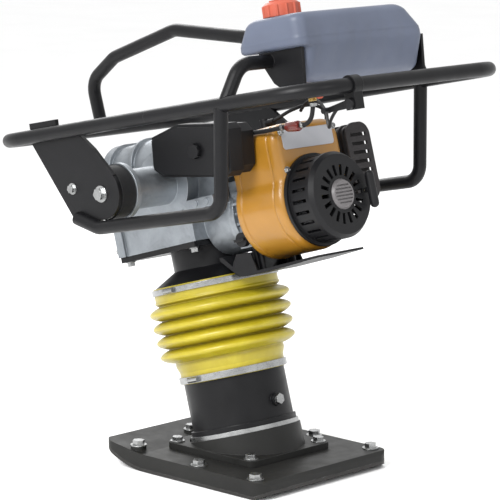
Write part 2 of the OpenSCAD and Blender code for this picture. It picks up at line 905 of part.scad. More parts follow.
module plate_slab(side) {
  y0 = side > 0 ? mount_out : -mount_out - plate_t;
  slab_y(y0, y0 + plate_t) {
    polygon([
      [190, loop_z], [66, loop_z], [24, 606], [mount_xh - 36, mount_zh + 30],
      [mount_xh, mount_zh - 20], [mount_xh + 10, mount_zh - 44], [56, 466], [96, 484]
    ]);
    translate([mount_xh, mount_zh]) circle(45);
    translate([112, loop_z]) square([70, loop_r + 11]);
  }
}

module side_plate(side) {
  color(satin_black * 1.2) handle() difference() {
    plate_slab(side);
    rod_x(20, 200, loop_r, side * rail_y, loop_z);
    translate([mount_xh, 0, mount_zh]) rotate([-90 * side, 0, 0]) cylinder(h = 300, r = 6.5);
  }
}

module plate_left() {
  side_plate(1);
}

module plate_right() {
  side_plate(-1);
}

module guard(side) {
  y = side * rail_y;
  path = [[86, y, 490], [34, y, 468], [-272, y, 468], [-307, y, loop_z]];
  color(satin_black) handle() difference() {
    cord(bent_path(path, 34), guard_r, [0, 1, 0], 24);
    rod_x(-360, -240, loop_r, y, loop_z);
    plate_slab(side);
  }
}

module guard_left() {
  guard(1);
}

module guard_right() {
  guard(-1);
}

arch_x = -316;
arch_top = [-326, 216, 706];
cradle_t = 6;

module tank_arch() {
  path = [
    [arch_x, rail_y, loop_z], arch_top, [arch_top.x, -arch_top.y, arch_top.z], [arch_x, -rail_y, loop_z]
  ];
  color(satin_black) handle() {
    difference() {
      cord(bent_path(path, 40), guard_r, [1, 0, 0], 24);
      for (side = [-1, 1])
        rod_x(-360, -240, loop_r, side * rail_y, loop_z);
    }
    for (y = [-tank_y - 0.5 - cradle_t, tank_y - sump_in + 1])
      slab_y(y, y + cradle_t) polygon([
        [-304, shelf_z], [-310, 700], [-330, 668], [-344, 658], [-398, 656], [-404, shelf_z]
      ]);
  }
}

module lifting_bar() {
  path = [
    [loop_front, -22, loop_z], [285, -8, 736], [206, 0, 772], [36, 0, 800],
    [-132, 0, 764], [-240, 0, arch_top.z], [arch_top.x, 0, arch_top.z]
  ];
  color(satin_black) handle() difference() {
    cord(bent_path(path, 45), guard_r, [0, 1, 0], 24);
    rod_y(-60, 60, loop_r, loop_front, loop_z);
    rod_y(-60, 60, guard_r, arch_top.x, arch_top.z);
  }
}

module rubber_mount(side) {
  color(rubber_black) ram() difference() {
    rod_y(side * mount_in, side * (mount_out - 0.4), mount_rad, mount_x, mount_s);
    rod_y(side * (mount_in + 20), side * mount_out, 8, mount_x, mount_s);
  }
}

module rubber_mount_left() {
  rubber_mount(1);
}

module rubber_mount_right() {
  rubber_mount(-1);
}

module mount_bolts() {
  color(steel) handle() for (side = [-1, 1]) {
    translate([mount_xh, side * (mount_out + plate_t), mount_zh]) rotate([-90 * side, 0, 0]) bolt_head(19, 8);
    rod_y(side * (mount_in + 22), side * 252, 6, mount_xh, mount_zh);
    translate([mount_xh + 72, side * (mount_out + plate_t), mount_zh + 16]) rotate([-90 * side, 0, 0]) bolt_head(13, 6);
  }
}

// ---------- fuel tank ----------

tank_front = -264;
tank_back = -416;
sump_front = -350;
shelf_z = 722;
sump_in = 20;
sump_z = 660;
filler_x = -336;
filler_y = 108;

module tank_side(inset) {
  c = 12;
  slope = [26, 42];
  back_low = 20;
  polygon([
    [tank_back + inset + back_low, sump_z + inset + c], [tank_back + inset + back_low + c, sump_z + inset],
    [sump_front - inset - 4, sump_z + inset], [sump_front - inset, sump_z + inset + 4],
    [sump_front - inset, shelf_z + inset], [tank_front - inset, shelf_z + inset],
    [tank_front - inset, tank_top - inset - slope.y], [tank_front - inset - slope.x, tank_top - inset],
    [tank_back + inset + c, tank_top - inset], [tank_back + inset, tank_top - inset - c],
    [tank_back + inset, shelf_z]
  ]);
}

module tank_end(inset) {
  c = 18;
  slope = 44;
  w = tank_y - inset;
  v = w - sump_in;
  z = shelf_z + inset;
  polygon([
    [-w + c, sump_z + inset], [v - c, sump_z + inset], [v, sump_z + inset + c], [v, z], [w, z],
    [w, tank_top - inset - c], [w - c, tank_top - inset], [-w + slope, tank_top - inset],
    [-w, tank_top - inset - slope], [-w, sump_z + inset + c]
  ]);
}

module tank_solid(inset) {
  intersection() {
    slab_y(-tank_y + inset, tank_y - inset) tank_side(inset);
    slab_x(tank_back - 1, tank_front + 1) tank_end(inset);
  }
}

module fuel_tank() {
  color(tank_blue) handle() difference() {
    union() {
      tank_solid(0);
      translate([filler_x, filler_y, tank_top - 4]) cylinder(h = 10, r = 24.5);
    }
    tank_solid(tank_wall);
    translate([filler_x, filler_y, tank_top - 10]) cylinder(h = 30, r = 20);
  }
}

module fuel_cap() {
  color(cap_red) handle() translate([filler_x, filler_y, tank_top]) {
    difference() {
      union() {
        translate([0, 0, 0.4]) cylinder(h = 20, r = 31);
        translate([0, 0, 20.4]) cylinder(h = 5, r1 = 31, r2 = 25);
        for (a = [0 : 30 : 330])
          rotate([0, 0, a]) translate([31, 0, 0.4]) cylinder(h = 19, r = 2.5, $fn = 24);
      }
      translate([0, 0, -1]) cylinder(h = 15, r = 25 + run_gap);
    }
    translate([0, 0, 27]) cube([44, 9, 5], center = true);
    translate([0, 0, -3]) cylinder(h = 18, r = 20 - run_gap);
  }
}

cock_x = -366;
cock_y = 96;

module fuel_cock() {
  color(brass_tone) handle() {
    translate([cock_x, cock_y, sump_z - 14]) cylinder(h = 14, r = 9, $fn = 6);
    translate([cock_x, cock_y, sump_z - 30]) cylinder(h = 16, r = 7);
    rod_x(cock_x - 14, cock_x, 6, cock_y, sump_z - 20);
  }
}

module cock_lever() {
  color(cap_red * 0.8) handle() {
    rod_x(cock_x - 20, cock_x - 14.3, 8, cock_y, sump_z - 20);
    box(cock_x - 20, cock_x - 16, cock_y, cock_y + 26, sump_z - 23, sump_z - 17);
  }
}

// ---------- controls and cords ----------

throttle_y = 152;
throttle_z = loop_z - 30;

module throttle_bracket() {
  color(satin_black * 1.3) handle() difference() {
    union() {
      rod_y(throttle_y - 10, throttle_y + 10, loop_r + 4, -loop_rear, loop_z);
      box(-loop_rear - 11, -loop_rear + 11, throttle_y - 10, throttle_y + 10, throttle_z - 10, loop_z);
      rod_x(-loop_rear + 10, -loop_rear + 22, 5, throttle_y, throttle_z);
    }
    rod_y(throttle_y - 20, throttle_y + 20, loop_r, -loop_rear, loop_z);
  }
}

module throttle_lever() {
  color(dark_plastic) handle() {
    rod_y(throttle_y + 10.3, throttle_y + 17, 9, -loop_rear, throttle_z);
    slab_y(throttle_y + 11, throttle_y + 16)
      polygon([[-loop_rear + 4, throttle_z - 7], [-loop_rear + 4, throttle_z + 7],
        [-loop_rear + 48, throttle_z - 1], [-loop_rear + 48, throttle_z - 9]]);
    rod_y(throttle_y + 11, throttle_y + 26, 5, -loop_rear + 48, throttle_z - 5);
  }
}

cable_path = [
  [-355, 152, 698.6], [-334, 146, 690], [-302, 126, 668], [-262, 86, 648],
  [-215, 38, 646], [-170, -5, 660], [-125, -32, 672], [-92, -42, 665], [-75, -44, 648]
];
hose_path = [
  [-233, 96, 689], [-233, 96, 676], [-229, 95.5, 661.5], [-218, 94, 651], [-203, 92.5, 646],
  [-165, 89, 640], [-122, 83, 630], [-80, 74, 621.5], [-50, 71.5, 617], [-27, 70.5, 612.5],
  [-14, 70.5, 606.5], [-5.5, 71, 597], [-2, 72, 582]
];

filter_ends = [[-201.0, 92.3, 645.6], [-167.9, 89.3, 640.6]];

module throttle_cable() {
  color(rubber_black) cord(curve(cable_path, 6), 3, [0, 0, 1]);
}

module fuel_hose() {
  color([0.20, 0.10, 0.08]) {
    cord(curve(hose_path, 4), 4, [0, 1, 0]);
    cord(filter_ends, 9, [0, 1, 0], 24);
  }
}

// ---------- node list ----------

wear_plate();
shoe();
foot_bracket();
foot_bolts();
leg_flange();
leg_tube();
leg_plug();
lower_clamp();
spring_cylinder();
lower_spring();
upper_spring();
ram_rod();
bellows();
guide_cylinder();
boot_collar();
upper_clamp();
crankcase();
front_cover();
case_bolts();
crank_gear();
clutch_drum();
clutch_hub();
engine_rotor();
engine_block();
cylinder_head();
shroud();
label_plate();
starter_housing();
starter_hub();
starter_pulley();
starter_grip();
starter_rope();
muffler();
carburettor();
air_case();
air_cover();
air_knob();
spark_plug();
choke_lever();
oil_cap();
skid_bar();
handle_front();
handle_rear();
plate_left();
plate_right();
guard_left();
guard_right();
tank_arch();
lifting_bar();
rubber_mount_left();
rubber_mount_right();
mount_bolts();
fuel_tank();
fuel_cap();
fuel_cock();
cock_lever();
throttle_bracket();
throttle_lever();
throttle_cable();
fuel_hose();
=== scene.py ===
import json
import math
import bpy
import bmesh
from mathutils import Matrix, Vector


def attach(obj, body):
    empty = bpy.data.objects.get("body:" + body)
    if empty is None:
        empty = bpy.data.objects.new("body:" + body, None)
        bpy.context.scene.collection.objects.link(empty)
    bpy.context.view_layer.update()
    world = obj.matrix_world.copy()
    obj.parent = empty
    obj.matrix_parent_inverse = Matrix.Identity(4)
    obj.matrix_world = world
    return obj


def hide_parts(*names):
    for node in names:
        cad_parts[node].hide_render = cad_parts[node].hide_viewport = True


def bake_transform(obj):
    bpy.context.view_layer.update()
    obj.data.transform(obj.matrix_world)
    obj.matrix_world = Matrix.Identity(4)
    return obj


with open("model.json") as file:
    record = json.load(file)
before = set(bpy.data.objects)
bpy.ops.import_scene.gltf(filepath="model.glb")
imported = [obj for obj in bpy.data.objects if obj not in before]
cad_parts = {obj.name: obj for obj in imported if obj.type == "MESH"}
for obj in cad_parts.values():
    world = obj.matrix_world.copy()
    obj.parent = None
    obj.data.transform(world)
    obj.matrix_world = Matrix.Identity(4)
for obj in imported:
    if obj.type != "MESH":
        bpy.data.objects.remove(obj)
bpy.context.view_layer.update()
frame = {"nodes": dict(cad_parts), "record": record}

MM = 0.001
LEAN = math.radians(16.0)
TILT = math.radians(11.5)
RAM = Matrix.Rotation(LEAN, 4, "Y")
HANDLE = Matrix.Rotation(TILT, 4, "Y")
nodes = frame["nodes"]


def ram_pt(x, y, s):
    """Point in the leaning frame of the ram and engine, millimetres in, metres out."""
    return RAM @ Vector((x, y, s)) * MM


def handle_pt(x, y, z):
    """Point in the tilted frame of the handle and tank, millimetres in, metres out."""
    return HANDLE @ Vector((x, y, z)) * MM


# ---------- materials ----------

def srgb(r, g, b):
    """Display colour 0..255 to scene-linear RGBA."""
    def lin(c):
        c /= 255.0
        return c / 12.92 if c <= 0.04045 else ((c + 0.055) / 1.055) ** 2.4
    return (lin(r), lin(g), lin(b), 1.0)


class Surface:
    """A Principled material with helpers for the texture nodes that feed it."""

    def __init__(self, name, color, metallic=0.0, roughness=0.5, specular=0.5, coat=0.0, coat_rough=0.1):
        self.mat = bpy.data.materials.new(name)
        self.mat.use_nodes = True
        self.tree = self.mat.node_tree
        self.bsdf = self.tree.nodes["Principled BSDF"]
        self.mat.diffuse_color = color
        values = {
            "Base Color": color, "Metallic": metallic, "Roughness": roughness,
            "Specular IOR Level": specular, "Coat Weight": coat, "Coat Roughness": coat_rough,
        }
        for socket, value in values.items():
            self.bsdf.inputs[socket].default_value = value
        self.coords = self.node("ShaderNodeTexCoord").outputs["Object"]
        self.normal = None

    def node(self, kind, **settings):
        n = self.tree.nodes.new(kind)
        for key, value in settings.items():
            setattr(n, key, value)
        return n

    def link(self, a, b):
        self.tree.links.new(a, b)

    def stretched(self, scale):
        """Object coordinates scaled differently along each axis."""
        m = self.node("ShaderNodeMapping")
        m.inputs["Scale"].default_value = scale
        self.link(self.coords, m.inputs["Vector"])
        return m.outputs["Vector"]

    def noise(self, scale, detail=4.0, rough=0.55, distortion=0.0, vector=None):
        n = self.node("ShaderNodeTexNoise")
        n.inputs["Scale"].default_value = scale
        n.inputs["Detail"].default_value = detail
        n.inputs["Roughness"].default_value = rough
        n.inputs["Distortion"].default_value = distortion
        self.link(vector or self.coords, n.inputs["Vector"])
        return n.outputs["Fac"]

    def spread(self, value, low_in, high_in, low_out, high_out):
        n = self.node("ShaderNodeMapRange")
        limits = (("From Min", low_in), ("From Max", high_in), ("To Min", low_out), ("To Max", high_out))
        for socket, v in limits:
            n.inputs[socket].default_value = v
        self.link(value, n.inputs["Value"])
        return n.outputs["Result"]

    def math(self, operation, a, b):
        n = self.node("ShaderNodeMath", operation=operation)
        for socket, v in zip(n.inputs, (a, b)):
            if isinstance(v, (int, float)):
                socket.default_value = v
            else:
                self.link(v, socket)
        return n.outputs["Value"]

    def ramp(self, value, stops):
        n = self.node("ShaderNodeValToRGB")
        ramp = n.color_ramp
        while len(ramp.elements) < len(stops):
            ramp.elements.new(0.5)
        for element, (position, color) in zip(ramp.elements, stops):
            element.position = position
            element.color = color
        self.link(value, n.inputs["Fac"])
        return n.outputs["Color"]

    def mix(self, factor, a, b):
        n = self.node("ShaderNodeMix", data_type="RGBA")
        if isinstance(factor, (int, float)):
            n.inputs["Factor"].default_value = factor
        else:
            self.link(factor, n.inputs["Factor"])
        for socket, v in ((n.inputs[6], a), (n.inputs[7], b)):
            if isinstance(v, tuple):
                socket.default_value = v
            else:
                self.link(v, socket)
        return n.outputs[2]

    def edges(self, radius, low=0.02, high=0.35):
        """1 along convex and concave edges within radius, 0 on open faces."""
        bevel = self.node("ShaderNodeBevel", samples=6)
        bevel.inputs["Radius"].default_value = radius
        geo = self.node("ShaderNodeNewGeometry")
        dot = self.node("ShaderNodeVectorMath", operation="DOT_PRODUCT")
        self.link(bevel.outputs["Normal"], dot.inputs[0])
        self.link(geo.outputs["Normal"], dot.inputs[1])
        return self.spread(self.math("SUBTRACT", 1.0, dot.outputs["Value"]), low, high, 0.0, 1.0)

    def round_edges(self, radius):
        """Shade sharp CAD edges as if they had a small radius."""
        bevel = self.node("ShaderNodeBevel", samples=6)
        bevel.inputs["Radius"].default_value = radius
        self.normal = bevel.outputs["Normal"]

    def bump(self, height, strength, distance):
        b = self.node("ShaderNodeBump")
        b.inputs["Strength"].default_value = strength
        b.inputs["Distance"].default_value = distance
        self.link(height, b.inputs["Height"])
        if self.normal:
            self.link(self.normal, b.inputs["Normal"])
        self.normal = b.outputs["Normal"]

    def color(self, output):
        self.link(output, self.bsdf.inputs["Base Color"])

    def rough(self, output):
        self.link(output, self.bsdf.inputs["Roughness"])

    def done(self):
        if self.normal:
            self.link(self.normal, self.bsdf.inputs["Normal"])
        return self.mat


def shade(color, k):
    return (color[0] * k, color[1] * k, color[2] * k, 1.0)


def painted_steel(name, color, rough=0.38, wear=0.25, radius=0.0016):
    """Satin powder coat: fine orange peel, faint cloudiness and scuffed edges."""
    s = Surface(name, color, 0.0, rough, 0.22)
    cloud = s.noise(9.0, 5.0, 0.6)
    base = s.ramp(cloud, [(0.30, shade(color, 0.78)), (0.70, shade(color, 1.30))])
    scuffs = s.math("MULTIPLY", s.edges(0.0022), s.spread(s.noise(60.0, 6.0, 0.7), 0.45, 0.70, 0.0, wear))
    s.color(s.mix(scuffs, base, srgb(150, 150, 150)))
    s.rough(s.spread(s.noise(35.0, 4.0), 0.2, 0.8, rough - 0.07, rough + 0.12))
    s.round_edges(radius)
    s.bump(s.noise(900.0, 2.0, 0.5), 0.10, 0.0006)
    return s.done()


def cast_alloy(name, color, rough=0.42, grain=420.0, metallic=0.85):
    """Die-cast aluminium: grainy skin, soft stains and brighter machined edges."""
    s = Surface(name, color, metallic, rough, 0.5)
    stains = s.noise(14.0, 7.0, 0.65, 0.4)
    base = s.ramp(stains, [(0.28, shade(color, 0.62)), (0.52, color), (0.78, shade(color, 1.18))])
    s.color(s.mix(s.math("MULTIPLY", s.edges(0.0016), 0.6), base, shade(color, 1.35)))
    s.rough(s.spread(s.noise(55.0, 5.0, 0.7), 0.25, 0.75, rough - 0.10, rough + 0.16))
    s.round_edges(0.0022)
    s.bump(s.noise(grain, 4.0, 0.7), 0.35, 0.0007)
    s.bump(s.noise(38.0, 2.0, 0.5), 0.18, 0.0015)
    return s.done()


def plated_steel(name, color, rough=0.26, brushed=True):
    """Zinc plate: bright, with fine drawn lines and a slight patchy dullness."""
    s = Surface(name, color, 1.0, rough, 0.5)
    base = s.ramp(s.noise(30.0, 5.0, 0.6), [(0.3, shade(color, 0.72)), (0.7, shade(color, 1.12))])
    s.color(base)
    lines = s.noise(120.0, 3.0, 0.6, 0.0, s.stretched((1.0, 1.0, 14.0)) if brushed else None)
    s.rough(s.spread(lines, 0.25, 0.75, rough - 0.08, rough + 0.16))
    s.round_edges(0.0009)
    s.bump(lines, 0.08, 0.0004)
    return s.done()


def moulded_plastic(name, color, rough=0.45, grain=700.0, grain_depth=0.22, radius=0.0014,
                    specular=0.45, coat=0.0):
    """Injection-moulded plastic: spark-eroded grain, faint flow marks."""
    s = Surface(name, color, 0.0, rough, specular, coat, 0.12)
    flow = s.noise(5.0, 4.0, 0.5, 0.8)
    s.color(s.ramp(flow, [(0.30, shade(color, 0.86)), (0.70, shade(color, 1.12))]))
    s.rough(s.spread(s.noise(24.0, 4.0), 0.2, 0.8, rough - 0.06, rough + 0.08))
    s.round_edges(radius)
    s.bump(s.noise(grain, 3.0, 0.6), grain_depth, 0.0004)
    return s.done()


def rubber(name, color, rough=0.6, grain=500.0, specular=0.22):
    """Rubber: matt skin with a dusty bloom and fine pits."""
    s = Surface(name, color, 0.0, rough, specular)
    bloom = s.noise(18.0, 6.0, 0.7)
    s.color(s.ramp(bloom, [(0.35, color), (0.75, shade(color, 1.6))]))
    s.rough(s.spread(s.noise(40.0, 4.0), 0.2, 0.8, rough - 0.08, rough + 0.12))
    s.round_edges(0.001)
    s.bump(s.noise(grain, 3.0, 0.7), 0.2, 0.0005)
    return s.done()


def boot_rubber():
    """Yellow polyurethane boot: waxy gloss, mould mist, and painted shade that darkens the colour in the
    folds.
    """
    color = srgb(172, 157, 32)
    s = Surface("boot_yellow", color, 0.0, 0.36, 0.5, 0.15, 0.25)
    s.bsdf.inputs["Subsurface Weight"].default_value = 0.08
    s.bsdf.inputs["Subsurface Radius"].default_value = (0.012, 0.009, 0.002)
    s.bsdf.inputs["Subsurface Scale"].default_value = 1.0
    mist = s.noise(16.0, 6.0, 0.65, 0.3)
    base = s.ramp(mist, [(0.25, srgb(158, 142, 22)), (0.55, color), (0.85, srgb(194, 179, 54))])
    # Painted shade: ambient occlusion darkens the base colour toward dark yellow in the folds between the
    # ribs.
    occlusion = s.node("ShaderNodeAmbientOcclusion", samples=8)
    occlusion.inputs["Distance"].default_value = 0.022
    painted_fold_shade = s.spread(occlusion.outputs["AO"], 0.35, 0.95, 1.0, 0.0)
    s.color(s.mix(s.math("MULTIPLY", painted_fold_shade, 0.75), base, srgb(118, 102, 8)))
    s.rough(s.spread(s.noise(45.0, 5.0), 0.2, 0.8, 0.28, 0.46))
    s.bump(s.noise(260.0, 4.0, 0.6), 0.12, 0.0008)
    return s.done()


BLACK = srgb(15, 15, 17)
MATS = {
    "satin_black": painted_steel("satin_black", BLACK, 0.38, 0.14),
    "shoe_black": painted_steel("shoe_black", srgb(30, 30, 29), 0.48, 0.22),
    "wear_steel": painted_steel("wear_steel", srgb(46, 45, 44), 0.44, 0.5),
    "cast_aluminium": cast_alloy("cast_aluminium", srgb(148, 153, 158)),
    "zinc": plated_steel("zinc", srgb(164, 165, 165)),
    "ground_steel": plated_steel("ground_steel", srgb(170, 171, 174), 0.22),
    "spring_steel": plated_steel("spring_steel", srgb(105, 107, 112), 0.38, False),
    "brass": plated_steel("brass", srgb(196, 164, 96), 0.28, False),
    "shroud_orange": moulded_plastic("shroud_orange", srgb(160, 112, 32), 0.32, 600.0, 0.10, 0.003,
                                     0.5, 0.30),
    "dark_plastic": moulded_plastic("dark_plastic", srgb(20, 20, 22), 0.44, 700.0, 0.22, 0.0014, 0.25),
    "grey_plastic": moulded_plastic("grey_plastic", srgb(106, 103, 104), 0.40),
    "tank_plastic": moulded_plastic("tank_plastic", srgb(86, 93, 110), 0.42, 380.0, 0.30, 0.006),
    "cap_red": moulded_plastic("cap_red", srgb(172, 78, 56), 0.40),
    "label": moulded_plastic("label", srgb(176, 177, 182), 0.35),
    "muffler_black": cast_alloy("muffler_black", srgb(48, 45, 46), 0.58, 300.0, 0.35),
    "rubber": rubber("rubber", srgb(24, 24, 25)),
    "rope": rubber("rope", srgb(126, 121, 106), 0.8, 900.0, 0.2),
    "boot_yellow": boot_rubber(),
    "filter_red": moulded_plastic("filter_red", srgb(96, 26, 20), 0.25, 500.0, 0.05, 0.001, 0.5, 0.4),
}
slot_of = {p["node"]: p["material_slot"] for p in frame["record"]["subparts"]}
for name, obj in nodes.items():
    obj.data.materials.clear()
    obj.data.materials.append(MATS[slot_of[name]])
    for poly in obj.data.polygons:
        poly.material_index = 0


# ---------- mesh builders ----------

def add_mesh(name, verts, faces, material, smooth=True, sharp_deg=None):
    """New object from vertices in metres, normals made consistent and outward."""
    mesh = bpy.data.meshes.new(name)
    mesh.from_pydata([tuple(v) for v in verts], [], faces)
    bm = bmesh.new()
    bm.from_mesh(mesh)
    bmesh.ops.remove_doubles(bm, verts=bm.verts, dist=1e-7)
    bmesh.ops.recalc_face_normals(bm, faces=bm.faces)
    if bm.calc_volume(signed=True) < 0:
        bmesh.ops.reverse_faces(bm, faces=bm.faces)
    bm.to_mesh(mesh)
    bm.free()
    mesh.materials.append(material)
    for poly in mesh.polygons:
        poly.use_smooth = smooth
    obj = bpy.data.objects.new(name, mesh)
    bpy.context.scene.collection.objects.link(obj)
    if smooth and sharp_deg:
        mesh.set_sharp_from_angle(angle=math.radians(sharp_deg))
    return obj


def ease(value):
    """Value held between 0 and 1."""
    return min(1.0, max(0.0, value))


def loft_data(rings, caps=True, loop=False):
    """Vertices and faces of a skin over rings that have the same number of points."""
    n = len(rings[0])
    verts = [p for ring in rings for p in ring]
    faces = []
    count = len(rings)
    for i in range(count if loop else count - 1):
        a, b = i * n, ((i + 1) % count) * n
        for k in range(n):
            faces.append((a + k, a + (k + 1) % n, b + (k + 1) % n, b + k))
    if caps and not loop:
        faces.append(tuple(range(n - 1, -1, -1)))
        faces.append(tuple((count - 1) * n + k for k in range(n)))
    return verts, faces


def loft(name, rings, material, caps=True, loop=False, sharp_deg=None):
    verts, faces = loft_data(rings, caps, loop)
    return add_mesh(name, verts, faces, material, True, sharp_deg)


def join_data(parts):
    """One vertex and face list out of several."""
    verts, faces = [], []
    for v, f in parts:
        shift = len(verts)
        verts += v
        faces += [tuple(i + shift for i in face) for face in f]
    return verts, faces


def catmull(points, per):
    """The smooth route that the CAD cords follow through the same points."""
    pts = [Vector(p) for p in points]
    out = []
    for i in range(len(pts) - 1):
        a, b, c, d = pts[max(i - 1, 0)], pts[i], pts[i + 1], pts[min(i + 2, len(pts) - 1)]
        for k in range(per):
            t = k / per
            out.append(0.5 * (2 * b + (c - a) * t + (2 * a - 5 * b + 4 * c - d) * t * t
                              + (3 * b - a - 3 * c + d) * t ** 3))
    return out + [pts[-1]]


def circle(count):
    """Cosine and sine of count even steps round a full turn."""
    return [(math.cos(2 * math.pi * k / count), math.sin(2 * math.pi * k / count)) for k in range(count)]


def sweep_data(path, radius, sides=20):
    """Tube of radius (a number, or a function of the share of length) along path, in metres."""
    side = None
    rings = []
    lengths = [0.0]
    for a, b in zip(path, path[1:]):
        lengths.append(lengths[-1] + (b - a).length)
    for i, p in enumerate(path):
        d = (path[min(i + 1, len(path) - 1)] - path[max(i - 1, 0)]).normalized()
        if side is None:
            side = d.orthogonal().normalized()
        side = (side - d * side.dot(d)).normalized()
        up = d.cross(side)
        r = radius(lengths[i] / lengths[-1]) if callable(radius) else radius
        rings.append([p + side * (r * c) + up * (r * n) for c, n in circle(sides)])
    return loft_data(rings)


def turned_data(profile, place, segments=96, closed=False):
    """Body of revolution: profile is (radius, height) in mm, place maps (x, y, height) to metres."""
    rings = [[place(r * c, r * n, h) for c, n in circle(segments)] for r, h in profile]
    return loft_data(rings, not closed, closed)


# ---------- boot ----------

LEG_R = 92.0
COLLAR_R = 110.0
BOOT_LOW = 168.0
BOOT_TOP = 346.0
BOOT_SOFT = (200.0, 318.0)
RIB_TOP = 300.0
RIB_PITCH = 26.0
RIB_R = 128.5
RIB_TAPER = 0.06
RIB_DEPTH = 21.0
CUFF_GAP = 3.2


def boot_radius(s):
    """Outer radius of the boot at ram height s: cuffs, soft bands and four full round ribs."""
    peak = RIB_R - (RIB_TOP - s) * RIB_TAPER
    valley = peak - RIB_DEPTH
    top_valley = RIB_TOP + RIB_PITCH / 2
    low_valley = RIB_TOP - 3.5 * RIB_PITCH
    if low_valley <= s <= top_valley:
        wave = abs(math.cos(math.pi * (s - RIB_TOP) / RIB_PITCH))
        return valley + (peak - valley) * wave ** 0.72
    if s > top_valley:
        t = min(1.0, (s - top_valley) / 10.0)
        shoulder = COLLAR_R + CUFF_GAP + 3.0 * math.sin(math.pi * t) ** 2 * (t < 1.0)
        return valley + (shoulder - valley) * math.sin(t * math.pi / 2) ** 0.8
    t = min(1.0, (low_valley - s) / 12.0)
    shoulder = LEG_R + CUFF_GAP + 5.5 * max(0.0, 1.0 - max(0.0, low_valley - s - 6.0) / 14.0)
    return valley - 3.0 + (min(shoulder, valley) - valley + 3.0) * t


def make_boot():
    low, high, wall = BOOT_LOW, BOOT_TOP, 2.6
    count = 230
    outer = []
    for i in range(count + 1):
        s = low + (high - low) * i / count
        outer.append((boot_radius(s), s))
    inner = [(max(LEG_R + 0.3, r - wall), s) for r, s in reversed(outer)]
    bead = [(outer[-1][0] - 0.4, high + 0.5), (outer[-1][0] - wall * 0.6, high + 0.7)]
    profile = outer + bead + inner
    rings = []
    segments = 128
    for r, s in profile:
        ring = []
        for k in range(segments):
            a = 2 * math.pi * k / segments
            soft = ease((s - BOOT_SOFT[0]) / 20.0) * ease((BOOT_SOFT[1] - s) / 20.0)
            rr = r + soft * (0.35 * math.sin(3 * a + s * 0.05) + 0.25 * math.sin(5 * a - s * 0.08))
            ring.append(ram_pt(rr * math.cos(a), rr * math.sin(a), s))
        rings.append(ring)
    boot = loft("boot", rings, MATS["boot_yellow"], caps=False, loop=True)
    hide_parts("bellows")
    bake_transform(boot)


make_boot()


# ---------- fuel tank ----------

TANK_Y = 158.0
TANK_TOP = 778.0
TANK_FRONT = -264.0
TANK_BACK = -416.0
SUMP_FRONT = -350.0
SHELF_Z = 722.0
SUMP_Z = 660.0
SUMP_IN = 20.0
BACK_LOW = 20.0
FRONT_SLOPE = (26.0, 42.0)
END_SLOPE = 44.0
TANK_CORNER = 22.0
SUMP_CORNER = 20.0
FLUTES = (-104.0, -62.0, -20.0, 22.0, 64.0, 106.0)
FLUTE_WIDTH = 9.0
FLUTE_DEPTH = 1.3
SIDE_HOLLOW = 1.4
FILLER = (-336.0, 108.0)


def rounded_ring(x0, x1, y0, y1, radius, z, corner_steps=10, edge_steps=12):
    """Rounded rectangle at height z of the handle frame, always with the same number of points."""
    pts = []
    corners = ((x1 - radius, y1 - radius, 0), (x0 + radius, y1 - radius, 90),
               (x0 + radius, y0 + radius, 180), (x1 - radius, y0 + radius, 270))
    for i, (cx, cy, a0) in enumerate(corners):
        for k in range(corner_steps + 1):
            a = math.radians(a0 + 90.0 * k / corner_steps)
            pts.append((cx + radius * math.cos(a), cy + radius * math.sin(a)))
        nx, ny, na = corners[(i + 1) % 4]
        end = (nx + radius * math.cos(math.radians(na)), ny + radius * math.sin(math.radians(na)))
        start = pts[-1]
        for k in range(1, edge_steps):
            t = k / edge_steps
            pts.append((start[0] + (end[0] - start[0]) * t, start[1] + (end[1] - start[1]) * t))
    return [(x, y, z) for x, y in pts]


def soft_over(value, start, blend=6.0):
    """How far value is past start, easing in over blend."""
    d = value - start
    if d <= -blend:
        return 0.0
    if d >= blend:
        return d
    return (d + blend) ** 2 / (4.0 * blend)


def tank_level(z, cut=0.0, out=0.0, flush=False):
    """(height, front, back, far side, near side, corner radius) of the outside at height z.

    A flush level is cut at the front and the near side only.
    """
    upper = z >= SHELF_Z
    near = TANK_Y if upper else TANK_Y - SUMP_IN
    front = TANK_FRONT if upper else SUMP_FRONT
    front -= soft_over(z, TANK_TOP - FRONT_SLOPE[1]) * FRONT_SLOPE[0] / FRONT_SLOPE[1]
    far = TANK_Y - soft_over(z, TANK_TOP - END_SLOPE)
    back = TANK_BACK + soft_over(SHELF_Z - z, 0.0) * BACK_LOW / (SHELF_Z - SUMP_Z - 12.0)
    radius = TANK_CORNER if upper else SUMP_CORNER
    rear_cut = 0.0 if flush else cut
    return (z, front - cut + out, back + rear_cut - out, -far + rear_cut - out, near - cut + out,
            radius - 0.35 * cut + out)


